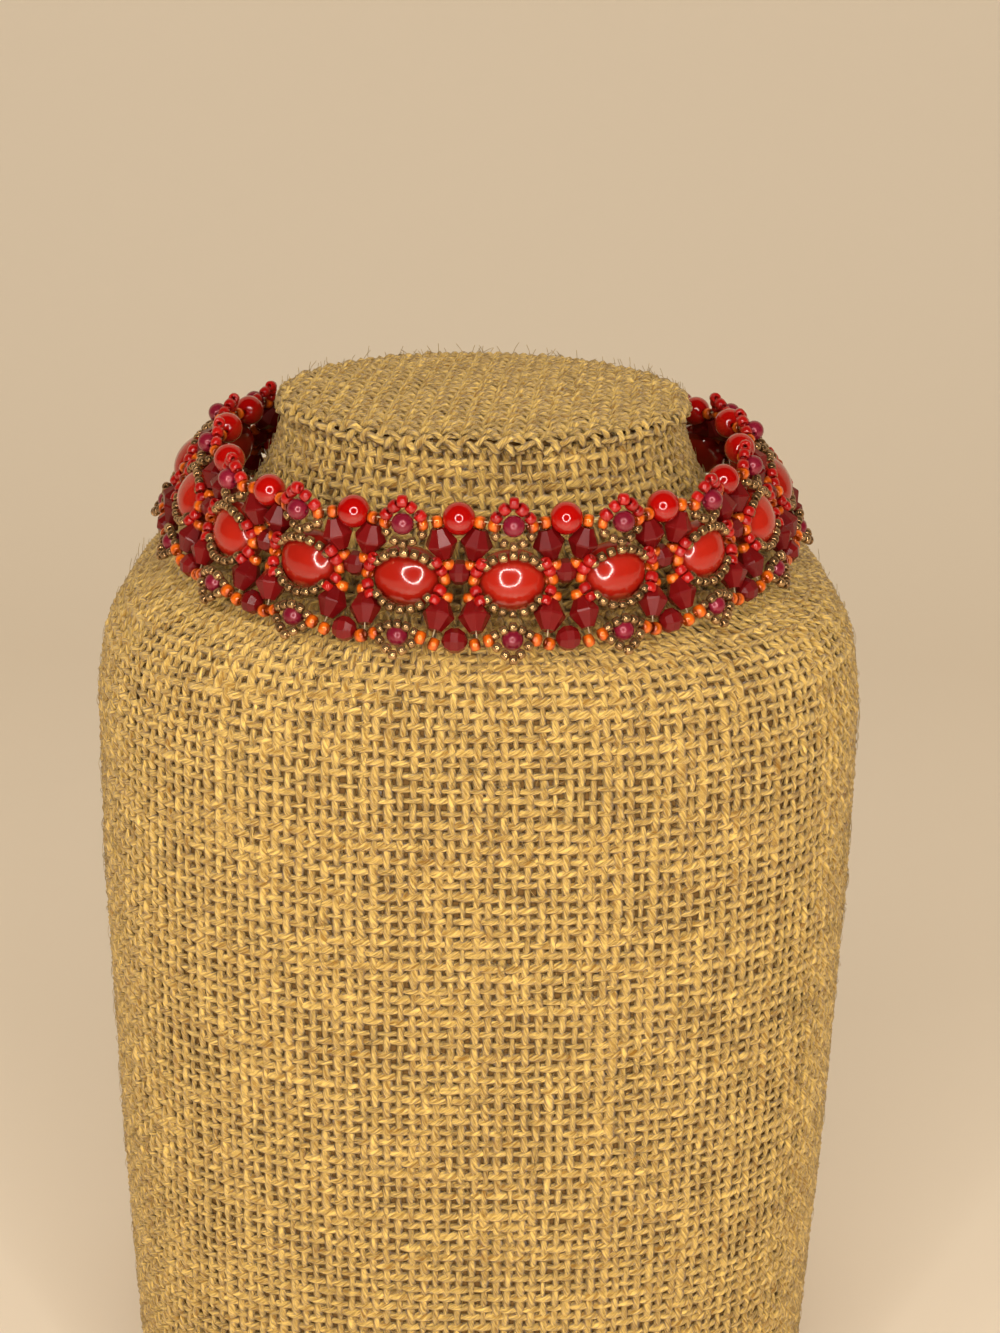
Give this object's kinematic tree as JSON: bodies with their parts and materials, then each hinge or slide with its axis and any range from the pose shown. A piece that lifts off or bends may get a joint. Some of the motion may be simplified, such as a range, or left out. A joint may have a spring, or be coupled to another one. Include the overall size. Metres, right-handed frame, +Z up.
{
  "type": "beaded choker necklace on a neck bust",
  "caption": "Woven beaded choker with oval coral stones, round beads, bicones and drops, closed at the back, shown on a plain burlap-covered neck bust",
  "frame": {"origin": "centre of the bust's flat base, on the surface it stands on", "axes": "+Z up, the bust's front and the choker's middle face -Y, +X to the right as seen from the front"},
  "size_m": [0.157, 0.126, 0.2421],
  "materials": {
    "burlap": "coarse plain-woven jute, natural tan, matt, with loose fibres",
    "coral_stone": "polished orange-red coral, glossy",
    "red_bead": "polished opaque deep red, glossy",
    "beadwork": "faceted garnet red glass with small bronze, red and orange beads",
    "clasp_metal": "darkened bronze, satin"
  },
  "bodies": {
    "root": {"neck_bust": "burlap", "neck_cap": "burlap", "clasp": "clasp_metal", "net_left": "beadwork", "net_right": "beadwork", "stone_01": "coral_stone", "stone_02": "coral_stone", "stone_03": "coral_stone", "stone_04": "coral_stone", "stone_05": "coral_stone", "stone_06": "coral_stone", "stone_07": "coral_stone", "stone_08": "coral_stone", "stone_09": "coral_stone", "stone_10": "coral_stone", "stone_11": "coral_stone", "stone_12": "coral_stone", "stone_13": "coral_stone", "stone_14": "coral_stone", "stone_15": "coral_stone", "stone_16": "coral_stone", "stone_17": "coral_stone", "round_bead_01": "red_bead", "round_bead_02": "red_bead", "round_bead_03": "red_bead", "round_bead_04": "red_bead", "round_bead_05": "red_bead", "round_bead_06": "red_bead", "round_bead_07": "red_bead", "round_bead_08": "red_bead", "round_bead_09": "red_bead", "round_bead_10": "red_bead", "round_bead_11": "red_bead", "round_bead_12": "red_bead", "round_bead_13": "red_bead", "round_bead_14": "red_bead", "round_bead_15": "red_bead", "round_bead_16": "red_bead", "round_bead_17": "red_bead", "round_bead_18": "red_bead"}
  },
  "joints": []
}
